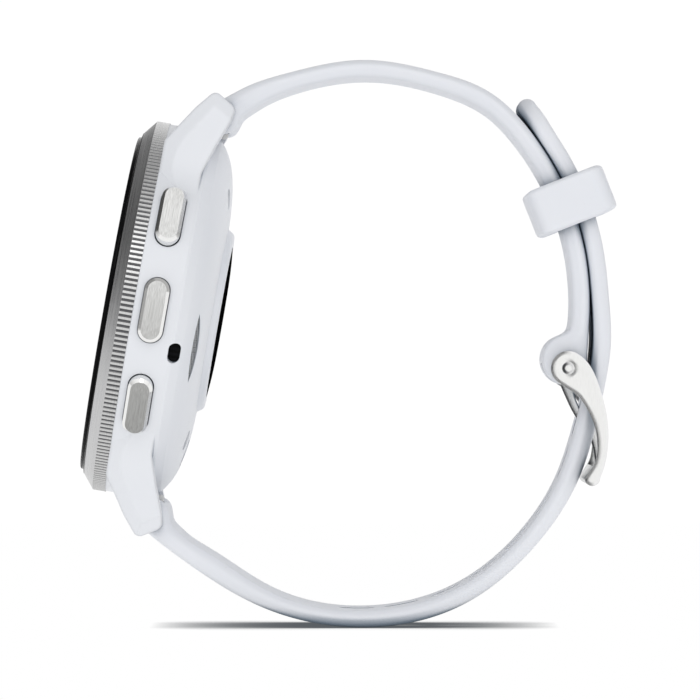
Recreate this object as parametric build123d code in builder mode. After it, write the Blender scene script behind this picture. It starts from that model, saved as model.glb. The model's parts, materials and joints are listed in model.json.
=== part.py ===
from build123d import *
import os
from math import atan2, cos, degrees, radians, sin

# GPS running watch standing on its closed strap.
# Millimetres, +Z up. The origin is the centre of the rear sensor window. The display faces -Y and leans
# back by head_tilt, 12 o'clock is towards +Z, and the three push buttons are on the +X side.

# ---- Driving dimensions ----
head_tilt = 10.0
bezel_radius = 22.5
case_radius = 22.4
wall_inner = 20.45          # bore of the case's wall
glass_radius = 20.3
screen_radius = 17.9

# Heights in front of the rear sensor window, along the head's axis
pod_base = 1.15
rear_seam = 3.7             # where the case back meets the case
rim_top = 5.0               # front end of the case back's spigot
facet_rear = 5.05           # rear edge of the case's straight side
board_rear = 6.4
button_height = 7.8
chassis_rear = 8.9
bezel_rear = 10.24
rib_front = 11.8
ledge = 12.1                # step in the bezel that carries the glass
bezel_front = 13.3
glass_front = 13.75

window_radius = 9.1
window_flat = 4.5           # radius of the flat middle of the domed window
window_rim = 0.28           # height of the window's edge
pod_radius = 10.6
rib_count = 228
rib_groove_radius = 0.17

button_angles = {"upper": 30, "middle": 0, "lower": -30}
button_length = 7.7
button_width = 2.95
button_travel = 0.45
stem_radius = 0.7
running_gap = 0.05

screw_spacing = (15.0, 29.2)
screw_seat = 2.9            # height of the screw heads' outer faces
screw_radius = 0.6
screw_head_radius = 1.15
screw_head_height = 0.75
screw_boss_radius = 1.8
screw_pillar_radius = 1.95
screw_arm = (4.4, 2.6)      # length and width of the arm that carries a boss
speaker_angle = -11.0
battery_size = (19.0, 22.0, 2.95)
parts_rear = 3.4            # rear side of the battery, speaker and motor
motor_place = (9.9, 9.2)
motor_radius = 3.8

strap_width = 22.0
strap_thickness = 2.1
strap_tip_half_width = 10.2
lug_gap_half = 11.1
lug_thickness = 3.8
lug_root_radius = 22.38     # the lug's root lies just under the case's side
lug_root_inner = 20.9
lug_blend = 12.0            # radius that blends the lug's side into the case's wall
lug_bevel = 1.5
bar_place = (23.6, 4.9)     # spring bar, from the head's axis and in front of the sensor window
bar_radius = 0.9
strap_end_radius = 1.9
release_travel = 1.6
lever_length = 3.1
lever_thickness = 1.2
lever_inner_x = 5.8         # inner side of the lever when the pin is pulled back
hole_pitch = 5.4
hole_size = (4.3, 2.4)
hole_count = 11
first_hole = 1.0            # from the start of the keeper arcs, along the strap's inner face
prong_half_width = 0.9

# The layers run round one centre under the keeper, in the side view's Y and Z
wrap_centre = (11.1, 2.4)
inner_layer = 30.85
outer_layer = 33.05
keeper_angle = 21.5
keeper_length = 5.7
buckle_pin_place = (41.4, -5.5)
buckle_pin_radius = 0.75
arm_inner_half = 10.75
arm_thickness = 1.6

# ---- Planes and helpers ----
lean = radians(head_tilt)
HEAD = Plane(origin=(0, 0, 0), x_dir=(1, 0, 0), z_dir=(0, -cos(lean), sin(lean)))
SECTION = Plane(origin=(0, 0, 0), x_dir=HEAD.x_dir, z_dir=-HEAD.y_dir)
HEAD_AXIS = Axis((0, 0, 0), HEAD.z_dir)
SIDE = Plane.YZ


def head_level(height):
    """Plane across the head at this height in front of the sensor window."""
    return HEAD.offset(height)


def head_point(x, y, height):
    """A point given in the head's own directions."""
    return HEAD.from_local_coords(Vector(x, y, height))


def rim_plane(angle, radius, height):
    """Plane facing outwards from the head's axis; its x runs round the rim and its y runs forwards."""
    turn = radians(angle)
    return Plane(
        origin=head_point(radius * cos(turn), radius * sin(turn), height),
        x_dir=head_point(-sin(turn), cos(turn), 0),
        z_dir=head_point(cos(turn), sin(turn), 0),
    )


def side_point(y, height):
    """A point of the head's middle plane in the side view's Y and Z."""
    point = head_point(0, y, height)
    return (point.Y, point.Z)


def wrap_point(radius, angle):
    """A point of the strap's wrap in the side view's Y and Z."""
    turn = radians(angle)
    return (wrap_centre[0] + radius * cos(turn), wrap_centre[1] + radius * sin(turn))


def around(centre, radius, angle):
    """A point on a circle in the side view's Y and Z."""
    turn = radians(angle)
    return (centre[0] + radius * cos(turn), centre[1] + radius * sin(turn))


os.makedirs("parts", exist_ok=True)


def save(name, label):
    """Label a finished piece and write it."""
    name.part.label = label
    export_step(name.part, f"parts/{label}.step")


def disc(radius, rear, front):
    """A plain round plate between two heights."""
    with BuildPart() as plate:
        with BuildSketch(head_level(rear)):
            Circle(radius)
        extrude(amount=front - rear)
    return plate


def ring(outer, inner, rear, front):
    """A plain flat ring between two heights."""
    with BuildPart() as band:
        with BuildSketch(head_level(rear)):
            Circle(outer)
            Circle(inner, mode=Mode.SUBTRACT)
        extrude(amount=front - rear)
    return band


# ---- Display stack ----
with BuildPart() as cover_glass:
    with BuildSketch(head_level(ledge + 0.15)):
        Circle(glass_radius)
    extrude(amount=glass_front - ledge - 0.15)
    fillet(cover_glass.edges().group_by(HEAD_AXIS)[-1], 0.35)
save(cover_glass, "cover_glass")

save(ring(glass_radius - 0.1, 19.0, ledge, ledge + 0.15), "glass_gasket")
save(disc(screen_radius, 12.15, ledge + 0.15), "display_adhesive")
save(disc(screen_radius, 11.35, 12.15), "display_panel")

with BuildPart() as display_flex:
    with BuildSketch(head_level(board_rear + 0.85)):
        with Locations((0, -13.5)):
            Rectangle(6.0, 0.15)
    extrude(amount=11.3 - board_rear - 0.85)
save(display_flex, "display_flex")

# ---- Bezel ring with a ribbed band ----
with BuildPart() as bezel_ring:
    with BuildSketch(SECTION):
        with BuildLine():
            Polyline(
                (bezel_radius - 0.5, bezel_rear),
                (bezel_radius - 0.5, rib_front),
                (bezel_radius, rib_front),
                (20.75, bezel_front - 0.08),
                (20.4, bezel_front),
                (20.4, ledge),
                (18.9, ledge),
                (18.9, 11.1),
                (19.6, 11.1),
                (19.6, chassis_rear),
                (wall_inner - running_gap, chassis_rear),
                (wall_inner - running_gap, bezel_rear),
                close=True,
            )
        make_face()
    revolve(axis=HEAD_AXIS)
    with BuildSketch(head_level(bezel_rear)):
        Circle(bezel_radius)
        Circle(bezel_radius - 0.6, mode=Mode.SUBTRACT)
        with PolarLocations(bezel_radius + 0.03, rib_count):
            Circle(rib_groove_radius, mode=Mode.SUBTRACT)
    extrude(amount=rib_front - bezel_rear)
save(bezel_ring, "bezel_ring")

save(ring(21.55, 20.75, bezel_rear - 0.2, bezel_rear), "bezel_gasket")

# ---- One lug, made at +X and 12 o'clock and mirrored into the other three ----
lug_side = lug_gap_half + lug_thickness
lug_plane = Plane(origin=(lug_gap_half, 0, 0), x_dir=HEAD.y_dir, z_dir=(1, 0, 0))
front_bevel = Plane(origin=head_point(lug_side, 21.27, 7.7), z_dir=head_point(lug_bevel, 0.47, 0.71))
tip_bevel = Plane(origin=head_point(lug_side, 24.96, 4.64), z_dir=head_point(lug_bevel, 0.77, -0.47))
with BuildPart() as lug:
    with BuildSketch(head_level(2.0)) as plan:
        Circle(lug_root_radius)
        with Locations((lug_gap_half + lug_thickness / 2, 14.0)):
            Rectangle(lug_thickness, 28.0)
        fillet(plan.vertices().sort_by_distance((lug_side, 16.7, 0))[0], lug_blend)
        Circle(lug_root_inner, mode=Mode.SUBTRACT)
    extrude(amount=9.0)
    with BuildSketch(lug_plane):
        with BuildLine():
            FilletPolyline(
                (12.0, 5.3),
                (12.0, bezel_rear),
                (20.15, bezel_rear),
                (24.6, 7.3),
                (27.0, 5.3),
                (25.3, 2.55),
                (23.6, 2.9),
                (20.5, 4.1),
                (17.0, 5.2),
                radius=0.9,
                close=True,
            )
        make_face()
    extrude(amount=12.0, mode=Mode.INTERSECT)
    split(bisect_by=front_bevel, keep=Keep.BOTTOM)
    split(bisect_by=tip_bevel, keep=Keep.BOTTOM)

# ---- Case: wall, lugs, button seats, screw bosses on short arms ----
screw_angle = degrees(atan2(screw_spacing[1], screw_spacing[0]))
screw_angles = (screw_angle, 180 - screw_angle, -screw_angle, screw_angle - 180)
with BuildPart() as mid_case:
    with BuildSketch(SECTION):
        with BuildLine():
            Polyline(
                (wall_inner, rear_seam),
                (21.35, rear_seam),
                (22.25, 4.72),
                (case_radius, facet_rear),
                (case_radius, bezel_rear),
                (wall_inner, bezel_rear),
                close=True,
            )
        make_face()
    revolve(axis=HEAD_AXIS)
    add(lug.part)
    mirror(about=Plane.YZ)
    mirror(about=Plane(origin=(0, 0, 0), z_dir=HEAD.y_dir))
    with BuildSketch(head_level(bezel_rear)):
        Circle(bezel_radius)
        Circle(wall_inner, mode=Mode.SUBTRACT)
    extrude(amount=3, mode=Mode.SUBTRACT)
    with BuildSketch(head_level(bezel_rear - 0.2)):
        Circle(21.6)
        Circle(20.7, mode=Mode.SUBTRACT)
    extrude(amount=0.2, mode=Mode.SUBTRACT)
    for side in (1, -1):
        with BuildSketch(SIDE):
            with Locations(side_point(side * bar_place[0], bar_place[1])):
                Circle(strap_end_radius + 0.15)
        extrude(amount=lug_gap_half, both=True, mode=Mode.SUBTRACT)
        with BuildSketch(SIDE):
            with Locations(side_point(side * bar_place[0], bar_place[1])):
                Circle(0.6)
        extrude(amount=lug_gap_half + 1.3, both=True, mode=Mode.SUBTRACT)
    with BuildSketch(head_level(rim_top + 0.05)):
        with GridLocations(*screw_spacing, 2, 2):
            Circle(screw_boss_radius)
        for angle in screw_angles:
            with PolarLocations(18.5, 1, angle):
                Rectangle(*screw_arm)
    extrude(amount=1.25)
    with BuildSketch(head_level(rim_top)):
        with GridLocations(*screw_spacing, 2, 2):
            Circle(screw_radius + 0.02)
    extrude(amount=2.0, mode=Mode.SUBTRACT)
    for angle in button_angles.values():
        with BuildSketch(rim_plane(angle, 19.9, button_height)):
            Rectangle(4.6, 2.0)
        extrude(amount=1.2)
        with BuildSketch(rim_plane(angle, 21.4, button_height)):
            SlotOverall(button_length + 0.2, button_width + 0.2)
        extrude(amount=3, mode=Mode.SUBTRACT)
        with BuildSketch(rim_plane(angle, 19.5, button_height)):
            Circle(stem_radius + running_gap)
        extrude(amount=3, mode=Mode.SUBTRACT)
    with BuildSketch(rim_plane(-12, 21.1, 4.6)):
        SlotOverall(2.45, 1.45)
    extrude(amount=2, mode=Mode.SUBTRACT)
    with BuildSketch(rim_plane(-12, 19.5, 5.25)):
        Circle(0.2)
    extrude(amount=2, mode=Mode.SUBTRACT)
save(mid_case, "mid_case")

with BuildPart() as microphone_grille:
    with BuildSketch(rim_plane(-12, 21.1, 4.6)):
        SlotOverall(2.35, 1.35)
    extrude(amount=0.2)
save(microphone_grille, "microphone_grille")

with BuildPart() as microphone:
    with BuildSketch(rim_plane(-12, 18.9, 5.75)):
        Rectangle(3.0, 1.1)
    extrude(amount=1.0)
save(microphone, "microphone")

# ---- Case back with its raised sensor pod ----
speaker_turn = radians(speaker_angle)
speaker_plane = Plane(
    origin=head_point(18.87 * cos(speaker_turn), 18.87 * sin(speaker_turn), 2.6),
    x_dir=head_point(-sin(speaker_turn), cos(speaker_turn), 0),
    z_dir=head_point(0.447 * cos(speaker_turn), 0.447 * sin(speaker_turn), -0.894),
)


def speaker_opening(half_length, half_width):
    """Pointed slot outline, two arcs meeting at both ends."""
    with BuildSketch() as opening:
        with BuildLine():
            ThreePointArc((-half_length, 0), (0, -half_width), (half_length, 0))
            ThreePointArc((half_length, 0), (0, half_width), (-half_length, 0))
        make_face()
    return opening.sketch


with BuildPart() as case_back:
    with BuildSketch(SECTION):
        with BuildLine():
            pod = FilletPolyline(
                (window_radius + 0.05, window_rim),
                (pod_radius, window_rim),
                (11.15, pod_base),
                radius=0.7,
            )
            dome = Spline(pod @ 1, (14.2, 1.3), (17.3, 1.77), (18.8, 2.2), (20.5, 3.05), (21.35, rear_seam))
            Polyline(
                dome @ 1,
                (20.4, rear_seam),
                (20.4, 4.2),
                (20.0, 4.2),
                (20.0, 4.7),
                (20.4, 4.7),
                (20.4, rim_top),
                (17.9, rim_top),
                (17.9, 3.3),
                (14.2, 2.35),
                (11.0, 2.2),
                (9.15, 2.2),
                (9.15, 1.3),
                (8.2, 1.3),
                (8.2, 0.85),
                (window_radius + 0.05, 0.85),
                pod @ 0,
            )
        make_face()
    revolve(axis=HEAD_AXIS)
    with BuildSketch(speaker_plane):
        add(speaker_opening(4.2, 0.85))
    extrude(amount=2, mode=Mode.SUBTRACT)
    with BuildSketch(speaker_plane):
        SlotOverall(6.0, 0.7)
    extrude(amount=-3.4, mode=Mode.SUBTRACT)
    with BuildSketch(head_level(2.4)):
        with GridLocations(*screw_spacing, 2, 2):
            Circle(screw_pillar_radius)
    extrude(amount=rim_top - 2.4)
    with BuildSketch(head_level(screw_seat)):
        with GridLocations(*screw_spacing, 2, 2):
            Circle(screw_head_radius + 0.1)
    extrude(amount=-screw_seat, mode=Mode.SUBTRACT)
    with BuildSketch(head_level(screw_seat - 0.1)):
        with GridLocations(*screw_spacing, 2, 2):
            Circle(screw_radius + 0.05)
    extrude(amount=3, mode=Mode.SUBTRACT)
    with BuildSketch(head_level(0)):
        with Locations((0, -16.2)):
            RectangleRounded(7.5, 3.2, 0.6)
    extrude(amount=6, mode=Mode.SUBTRACT)
save(case_back, "case_back")

save(ring(20.38, 20.03, 4.25, 4.65), "case_back_gasket")

with BuildPart() as speaker_mesh:
    with BuildSketch(speaker_plane):
        add(speaker_opening(4.1, 0.8))
    extrude(amount=0.12)
save(speaker_mesh, "speaker_mesh")

with BuildPart() as case_screws:
    with BuildSketch(head_level(screw_seat)):
        with GridLocations(*screw_spacing, 2, 2):
            Circle(screw_head_radius)
    extrude(amount=-screw_head_height)
    with BuildSketch(head_level(screw_seat)):
        with GridLocations(*screw_spacing, 2, 2):
            Circle(screw_radius)
    extrude(amount=3.3)
    with BuildSketch(head_level(screw_seat - screw_head_height)):
        with GridLocations(*screw_spacing, 2, 2):
            RegularPolygon(0.55, 6)
    extrude(amount=0.4, mode=Mode.SUBTRACT)
save(case_screws, "case_screws")

# ---- Charging port ----
with BuildPart() as charging_port:
    with BuildSketch(head_level(1.95)):
        with Locations((0, -16.2)):
            RectangleRounded(7.4, 3.1, 0.55)
    extrude(amount=2.6)
    with BuildSketch(head_level(1.95)):
        with Locations((0, -16.2)):
            RectangleRounded(6.2, 1.9, 0.4)
    extrude(amount=1.3, mode=Mode.SUBTRACT)
    with BuildSketch(head_level(3.0)):
        with Locations((0, -16.2)):
            with GridLocations(1.4, 0, 4, 1):
                Circle(0.37)
    extrude(amount=2, mode=Mode.SUBTRACT)
save(charging_port, "charging_port")

with BuildPart() as charging_contacts:
    with BuildSketch(head_level(2.7)):
        with Locations((0, -16.2)):
            with GridLocations(1.4, 0, 4, 1):
                Circle(0.35)
    extrude(amount=2.2)
save(charging_contacts, "charging_contacts")

# ---- Optical heart-rate sensor ----
with BuildPart() as sensor_window:
    with BuildSketch(SECTION):
        with BuildLine():
            flat = Line((0, 0), (window_flat, 0))
            TangentArc(flat @ 1, (window_radius, window_rim), tangent=(1, 0))
            Polyline((window_radius, window_rim), (window_radius, 0.8), (0, 0.8), (0, 0))
        make_face()
    revolve(axis=HEAD_AXIS)
save(sensor_window, "sensor_window")

save(disc(8.9, 1.35, 1.95), "sensor_board")

with BuildPart() as sensor_leds:
    with BuildSketch(head_level(0.9)):
        Rectangle(2.2, 2.2)
        with PolarLocations(5.6, 2, 90):
            Rectangle(1.6, 2.4)
    extrude(amount=0.45)
save(sensor_leds, "sensor_leds")

with BuildPart() as sensor_photodiodes:
    with BuildSketch(head_level(0.95)):
        with PolarLocations(5.2, 4, 45):
            Rectangle(2.6, 2.6)
    extrude(amount=0.4)
save(sensor_photodiodes, "sensor_photodiodes")

# ---- Inside of the case ----
with BuildPart() as battery:
    with BuildSketch(head_level(parts_rear)):
        with Locations((-4.0, 1.0)):
            RectangleRounded(battery_size[0], battery_size[1], 2.0)
    extrude(amount=battery_size[2])
save(battery, "battery")

with BuildPart() as main_board:
    with BuildSketch(head_level(board_rear)):
        Circle(18.2)
        with Locations((17.3, 0)):
            Rectangle(10, 40, mode=Mode.SUBTRACT)
        with GridLocations(*screw_spacing, 2, 2):
            Circle(2.0, mode=Mode.SUBTRACT)
    extrude(amount=0.8)
save(main_board, "main_board")

with BuildPart() as shield_cans:
    with BuildSketch(head_level(board_rear + 0.8)):
        with Locations((-6.5, 4.5)):
            RectangleRounded(12.0, 9.0, 0.5)
        with Locations((-7.0, -6.0)):
            RectangleRounded(8.0, 7.0, 0.5)
        with Locations((7.0, 2.0)):
            RectangleRounded(8.0, 10.0, 0.5)
    extrude(amount=1.2)
save(shield_cans, "shield_cans")

with BuildPart() as inner_chassis:
    with BuildSketch(head_level(chassis_rear)):
        Circle(19.5)
        with Locations((0, -13.5)):
            Rectangle(7.0, 1.4, mode=Mode.SUBTRACT)
    extrude(amount=0.6)
    with BuildSketch(head_level(chassis_rear + 0.6)):
        Circle(18.85)
        Circle(18.3, mode=Mode.SUBTRACT)
    extrude(amount=1.5)
save(inner_chassis, "inner_chassis")

with BuildPart() as antenna:
    with BuildSketch(head_level(chassis_rear + 0.7)):
        with BuildLine():
            outside = CenterArc((0, 0), 18.2, 20, 210)
            inside = CenterArc((0, 0), 18.0, 20, 210)
            Line(outside @ 0, inside @ 0)
            Line(outside @ 1, inside @ 1)
        make_face()
    extrude(amount=1.2)
save(antenna, "antenna")

speaker_floor = Plane(
    origin=head_point(0, 0, parts_rear),
    x_dir=head_point(cos(speaker_turn), sin(speaker_turn), 0),
    z_dir=HEAD.z_dir,
)
with BuildPart() as speaker:
    with BuildSketch(speaker_floor):
        with Locations((13.8, 0)):
            RectangleRounded(5.8, 12.0, 1.0)
    extrude(amount=2.8)
save(speaker, "speaker")

# ---- Vibration motor: closed can, fixed shaft, eccentric rotor ----
with BuildPart() as vibration_can:
    with BuildSketch(head_level(parts_rear)):
        with Locations(motor_place):
            Circle(motor_radius)
    extrude(amount=2.9)
    with BuildSketch(head_level(parts_rear + 0.25)):
        with Locations(motor_place):
            Circle(motor_radius - 0.25)
    extrude(amount=2.4, mode=Mode.SUBTRACT)
save(vibration_can, "vibration_can")

with BuildPart() as vibration_shaft:
    with BuildSketch(head_level(parts_rear + 0.25)):
        with Locations(motor_place):
            Circle(0.4)
    extrude(amount=2.4)
save(vibration_shaft, "vibration_shaft")

with BuildPart() as vibration_rotor:
    with BuildSketch(head_level(parts_rear + 0.7)):
        with Locations(motor_place):
            Circle(3.3)
        with Locations((motor_place[0], motor_place[1] - 2.8)):
            Rectangle(7.0, 3.6, mode=Mode.SUBTRACT)
        with Locations(motor_place):
            Circle(1.0)
        with Locations(motor_place):
            Circle(0.4 + running_gap, mode=Mode.SUBTRACT)
    extrude(amount=1.5)
save(vibration_rotor, "vibration_rotor")

# ---- Push buttons: cap and stem, seal, clip, and the switches behind them ----
for place, angle in button_angles.items():
    with BuildPart() as button:
        with BuildSketch(rim_plane(angle, 21.4 + button_travel + 0.05, button_height)):
            SlotOverall(button_length, button_width)
        extrude(amount=1.5)
        chamfer(button.faces().sort_by(Axis((0, 0, 0), rim_plane(angle, 1, 0).z_dir))[-1].edges(), 0.35)
        with BuildSketch(rim_plane(angle, 19.2, button_height)):
            Circle(stem_radius)
        extrude(amount=3.0)
        with BuildSketch(rim_plane(angle, 19.5, button_height)):
            Circle(stem_radius)
            Circle(0.4, mode=Mode.SUBTRACT)
        extrude(amount=0.3, mode=Mode.SUBTRACT)
        with BuildSketch(rim_plane(angle, 20.5, button_height)):
            Circle(stem_radius)
            Circle(0.5, mode=Mode.SUBTRACT)
        extrude(amount=0.4, mode=Mode.SUBTRACT)
    save(button, f"button_{place}")

    with BuildPart() as seal:
        with BuildSketch(rim_plane(angle, 20.52, button_height)):
            Circle(stem_radius + 0.03)
            Circle(0.52, mode=Mode.SUBTRACT)
        extrude(amount=0.36)
    save(seal, f"button_{place}_seal")

    with BuildPart() as clip:
        with BuildSketch(rim_plane(angle, 19.52, button_height)):
            Circle(1.0)
            Circle(0.42, mode=Mode.SUBTRACT)
        extrude(amount=0.26)
    save(clip, f"button_{place}_clip")

with BuildPart() as button_switches:
    for angle in button_angles.values():
        with BuildSketch(rim_plane(angle, 17.1, button_height)):
            Rectangle(3.0, 1.9)
        extrude(amount=1.3)
        with BuildSketch(rim_plane(angle, 18.4, button_height)):
            Circle(0.5)
        extrude(amount=0.3)
save(button_switches, "button_switches")

with BuildPart() as side_flex:
    with BuildSketch(head_level(button_height - 0.9)):
        with BuildLine():
            outside = CenterArc((0, 0), 16.95, -42, 84)
            inside = CenterArc((0, 0), 16.8, -42, 84)
            Line(outside @ 0, inside @ 0)
            Line(outside @ 1, inside @ 1)
        make_face()
    extrude(amount=1.8)
save(side_flex, "side_flex")


# ---- Straps ----
# Plan of the open strap: full width at the lugs, narrower from the buckle to the tail
with BuildSketch(Plane.XY) as strap_plan:
    with BuildLine():
        Polyline(
            (-strap_width / 2, -15),
            (strap_width / 2, -15),
            (strap_width / 2, 6),
            (strap_tip_half_width, 36),
            (strap_tip_half_width, 50),
            (-strap_tip_half_width, 50),
            (-strap_tip_half_width, 36),
            (-strap_width / 2, 6),
            close=True,
        )
    make_face()


def lever_plane(side, x):
    """Plane square to the spring bar; its x runs from the bar towards the case back."""
    return Plane(
        origin=head_point(x, side * bar_place[0], bar_place[1]),
        x_dir=head_point(0, -side * 0.74, -0.67),
        z_dir=(1, 0, 0),
    )


def hole_plane(line, distance):
    """Plane square to the strap at a distance along a side-view line, with its y along the strap."""
    point = line.position_at(distance, position_mode=PositionMode.LENGTH)
    along = line.tangent_at(distance, position_mode=PositionMode.LENGTH)
    return Plane(origin=(0, point.X, point.Y), x_dir=(1, 0, 0), z_dir=(0, along.Y, -along.X))


upper_bar = side_point(*bar_place)
lower_bar = side_point(-bar_place[0], bar_place[1])

with BuildPart() as upper_strap:
    with BuildSketch(SIDE):
        with BuildLine():
            outer_arc = CenterArc(wrap_centre, inner_layer + strap_thickness, -4, 48)
            inner_arc = CenterArc(wrap_centre, inner_layer, -4, 48)
            outside = Spline(
                around(upper_bar, strap_end_radius, 110),
                (3.1, 28.1),
                (8.3, 29.8),
                (17.2, 31.3),
                (26.2, 29.75),
                outer_arc @ 1,
                tangents=(Vector(0.94, 0.34), Vector(0.695, -0.719)),
            )
            inside = Spline(
                inner_arc @ 1,
                (26.3, 27.6),
                (17.3, 29.2),
                (8.9, 27.8),
                (4.8, 26.05),
                side_point(24.8, 1.6),
                side_point(23.6, 2.0),
                tangents=(Vector(-0.695, 0.719), Vector(0, -1)),
            )
            lobe = Line(inside @ 1, side_point(22.5, 2.55))
            corner = Line(lobe @ 1, around(upper_bar, strap_end_radius, 265))
            ThreePointArc(corner @ 1, around(upper_bar, strap_end_radius, 190), outside @ 0)
            neck = Line(inner_arc @ 0, (41.6, -1.4))
            bulge = ThreePointArc(neck @ 1, around(buckle_pin_place, 2.5, 200), around(buckle_pin_place, 2.5, -30))
            Line(bulge @ 1, outer_arc @ 0)
        make_face()
    extrude(amount=strap_width / 2, both=True)
    extrude(strap_plan.sketch, amount=60, both=True, mode=Mode.INTERSECT)
    with BuildSketch(SIDE):
        with Locations(upper_bar):
            Circle(bar_radius + running_gap)
    extrude(amount=strap_width, both=True, mode=Mode.SUBTRACT)
    with BuildSketch(lever_plane(1, lever_inner_x - 0.1)):
        with Locations((2.5, 0)):
            Rectangle(5.0, 1.3)
    extrude(amount=release_travel + lever_thickness + 0.2, mode=Mode.SUBTRACT)
    with BuildSketch(SIDE):
        with Locations(buckle_pin_place):
            Circle(buckle_pin_radius + running_gap)
    extrude(amount=strap_width, both=True, mode=Mode.SUBTRACT)
    with BuildSketch(SIDE):
        with Locations(buckle_pin_place):
            Circle(3.0)
    extrude(amount=prong_half_width + 0.35, both=True, mode=Mode.SUBTRACT)
save(upper_strap, "upper_strap")

with BuildPart() as lower_strap:
    with BuildSketch(SIDE):
        with BuildLine():
            outer_arc = CenterArc(wrap_centre, outer_layer + strap_thickness, 5, 29)
            inner_arc = CenterArc(wrap_centre, outer_layer, 5, 29)
            outside = Spline(
                around(lower_bar, strap_end_radius, 230),
                (-4.2, -28.6),
                (4.9, -34.0),
                (17.5, -36.45),
                (28.4, -34.0),
                (37.4, -26.9),
                (42.2, -19.9),
                (45.0, -11.5),
                (46.4, -4.5),
                outer_arc @ 0,
                tangents=(Vector(0.72, -0.69), Vector(-0.087, 0.996)),
            )
            inside = Spline(
                inner_arc @ 0,
                (44.3, -4.2),
                (42.85, -10.9),
                (40.35, -18.7),
                (35.9, -25.5),
                (27.6, -32.0),
                (17.5, -34.4),
                (5.9, -32.1),
                (-1.6, -27.4),
                (-4.8, -25.2),
                side_point(-24.8, 1.6),
                side_point(-23.6, 2.0),
                tangents=(Vector(0.087, -0.996), Vector(0, 1)),
            )
            lobe = Line(inside @ 1, side_point(-22.5, 2.55))
            corner = Line(lobe @ 1, around(lower_bar, strap_end_radius, 75))
            ThreePointArc(corner @ 1, around(lower_bar, strap_end_radius, 150), outside @ 0)
            flare_out = Spline(
                outer_arc @ 1,
                wrap_point(outer_layer + strap_thickness + 0.35, 41.5),
                tangents=(Vector(-0.559, 0.829), Vector(-0.7, 0.71)),
            )
            flare_in = Spline(
                inner_arc @ 1,
                wrap_point(outer_layer + 0.35, 42.5),
                tangents=(Vector(-0.559, 0.829), Vector(-0.6, 0.8)),
            )
            ThreePointArc(flare_out @ 1, wrap_point(outer_layer + 1.4, 44.2), flare_in @ 1)
        make_face()
    extrude(amount=strap_width / 2, both=True)
    extrude(strap_plan.sketch, amount=60, both=True, mode=Mode.INTERSECT)
    with BuildSketch(SIDE):
        with Locations(lower_bar):
            Circle(bar_radius + running_gap)
    extrude(amount=strap_width, both=True, mode=Mode.SUBTRACT)
    with BuildSketch(lever_plane(-1, lever_inner_x - 0.1)):
        with Locations((2.5, 0)):
            Rectangle(5.0, 1.3)
    extrude(amount=release_travel + lever_thickness + 0.2, mode=Mode.SUBTRACT)
    for count in range(hole_count):
        with BuildSketch(hole_plane(inside, first_hole + count * hole_pitch)):
            SlotOverall(*hole_size, rotation=90)
        extrude(amount=4, both=True, mode=Mode.SUBTRACT)
save(lower_strap, "lower_strap")

# ---- Keeper: a loose loop round both strap layers ----
keeper_plane = Plane(
    origin=(0, *wrap_point(inner_layer + strap_thickness + 0.05, keeper_angle)),
    x_dir=(1, 0, 0),
    z_dir=(0, -sin(radians(keeper_angle)), cos(radians(keeper_angle))),
)
with BuildPart() as strap_keeper:
    with BuildSketch(keeper_plane.offset(-keeper_length / 2)):
        RectangleRounded(25.2, 9.7, 1.6)
        RectangleRounded(21.8, 5.1, 0.8, mode=Mode.SUBTRACT)
    extrude(amount=keeper_length)
save(strap_keeper, "strap_keeper")

# ---- Quick-release spring bars, one at each strap end ----
for place, side in {"upper": 1, "lower": -1}.items():
    with BuildPart() as bar_tube:
        with BuildSketch(lever_plane(side, -10.2)):
            Circle(bar_radius)
        extrude(amount=20.4)
        with BuildSketch(lever_plane(side, -12.2)):
            Circle(0.5)
        extrude(amount=2.1)
        with BuildSketch(lever_plane(side, -8.0)):
            Circle(0.5 + running_gap)
        extrude(amount=20, mode=Mode.SUBTRACT)
        with BuildSketch(lever_plane(side, lever_inner_x - 0.1)):
            with Locations((1.0, 0)):
                Rectangle(2.0, 1.1)
        extrude(amount=release_travel + lever_thickness + 0.2, mode=Mode.SUBTRACT)
    save(bar_tube, f"{place}_spring_bar_tube")

    with BuildPart() as release_pin:
        with BuildSketch(lever_plane(side, 3.6)):
            Circle(0.5)
        extrude(amount=8.6)
        with BuildSketch(lever_plane(side, lever_inner_x + release_travel)):
            with Locations((lever_length / 2 - 0.5, 0)):
                SlotOverall(lever_length, 1.0)
        extrude(amount=lever_thickness)
    save(release_pin, f"{place}_release_pin")

    with BuildPart() as bar_spring:
        with BuildLine() as coil:
            Helix(0.75, 11.2, 0.38, center=lever_plane(side, -7.8).origin, direction=(1, 0, 0))
        with BuildSketch(Plane(origin=coil.line @ 0, z_dir=coil.line % 0)):
            Circle(0.11)
        sweep(is_frenet=True)
    save(bar_spring, f"{place}_bar_spring")

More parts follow.
